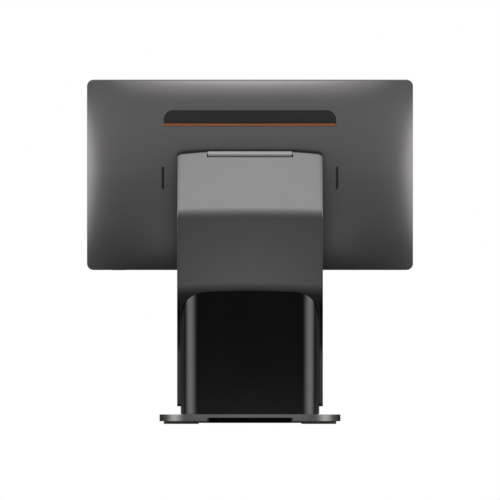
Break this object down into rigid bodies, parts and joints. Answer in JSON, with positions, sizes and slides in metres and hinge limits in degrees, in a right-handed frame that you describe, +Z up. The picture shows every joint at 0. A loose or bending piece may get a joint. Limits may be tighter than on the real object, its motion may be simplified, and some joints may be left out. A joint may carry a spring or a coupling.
{
  "type": "all in one pc",
  "caption": "Counter computer: a thin tilting touch display on a bent hollow neck, with a black cable cover over the connectors and a flat weighted base on rubber feet.",
  "frame": {"origin": "middle of the footprint, on the table under the rubber feet", "axes": "+Z up, the screen faces -Y, the back with the cable cover faces +Y"},
  "size_m": [0.372, 0.195, 0.393],
  "materials": {
    "gunmetal": "satin gunmetal",
    "gloss_black": "gloss",
    "satin_black": "satin",
    "accent": "satin orange",
    "glass": "gloss, black printed",
    "steel": "zinc plated",
    "aluminium": "bare",
    "circuit_board": "solder mask",
    "rubber": "matte"
  },
  "bodies": {
    "stand": {"base_plate": "gunmetal", "ballast_plate": "steel", "foot_front_left": "rubber", "foot_front_right": "rubber", "foot_rear_left": "rubber", "foot_rear_right": "rubber", "leg_pedestal": "satin_black", "stand_spine": "steel", "neck_front_cover": "gunmetal", "neck_rear_cover": "gunmetal", "hinge_pin": "steel", "friction_washer_left": "steel", "friction_washer_right": "steel", "io_board": "circuit_board", "usb_port_1": "steel", "usb_port_2": "steel", "usb_port_3": "steel", "usb_port_4": "steel", "lan_port": "steel", "drawer_port": "satin_black", "power_jack": "satin_black", "neck_screw_1": "steel", "neck_screw_2": "steel", "foot_screw_1": "steel", "foot_screw_2": "steel", "ballast_screw_1": "steel", "ballast_screw_2": "steel", "ballast_screw_3": "steel", "ballast_screw_4": "steel", "io_screw_1": "steel", "io_screw_2": "steel"},
    "display": {"cover_glass": "glass", "lcd_panel": "satin_black", "display_frame": "satin_black", "chassis_plate": "steel", "mainboard": "circuit_board", "heat_sink": "aluminium", "speaker_left": "satin_black", "speaker_right": "satin_black", "rear_cover": "gunmetal", "rear_strip": "satin_black", "accent_strip": "accent", "hinge_bracket": "gunmetal", "bracket_screw_1": "steel", "bracket_screw_2": "steel", "bracket_screw_3": "steel", "bracket_screw_4": "steel", "board_screw_1": "steel", "board_screw_2": "steel", "board_screw_3": "steel", "board_screw_4": "steel"},
    "power_button": {"power_button": "satin_black"},
    "cable_cover": {"cable_cover": "gloss_black"}
  },
  "joints": [
    {"name": "display_tilt", "type": "hinge", "parent": "stand", "child": "display", "pos_m": [0, 0.04, 0.3082], "axis": [-1, 0, 0], "range_deg": [-12, 48]},
    {"name": "power_button_press", "type": "slide", "parent": "display", "child": "power_button", "axis": [0, 0.2079, 0.9781], "range_m": [0, 0.0008], "stiffness_N_per_m": 800},
    {"name": "cable_cover_slide", "type": "slide", "parent": "stand", "child": "cable_cover", "axis": [0, 1, 0], "range_m": [0, 0.08]}
  ]
}
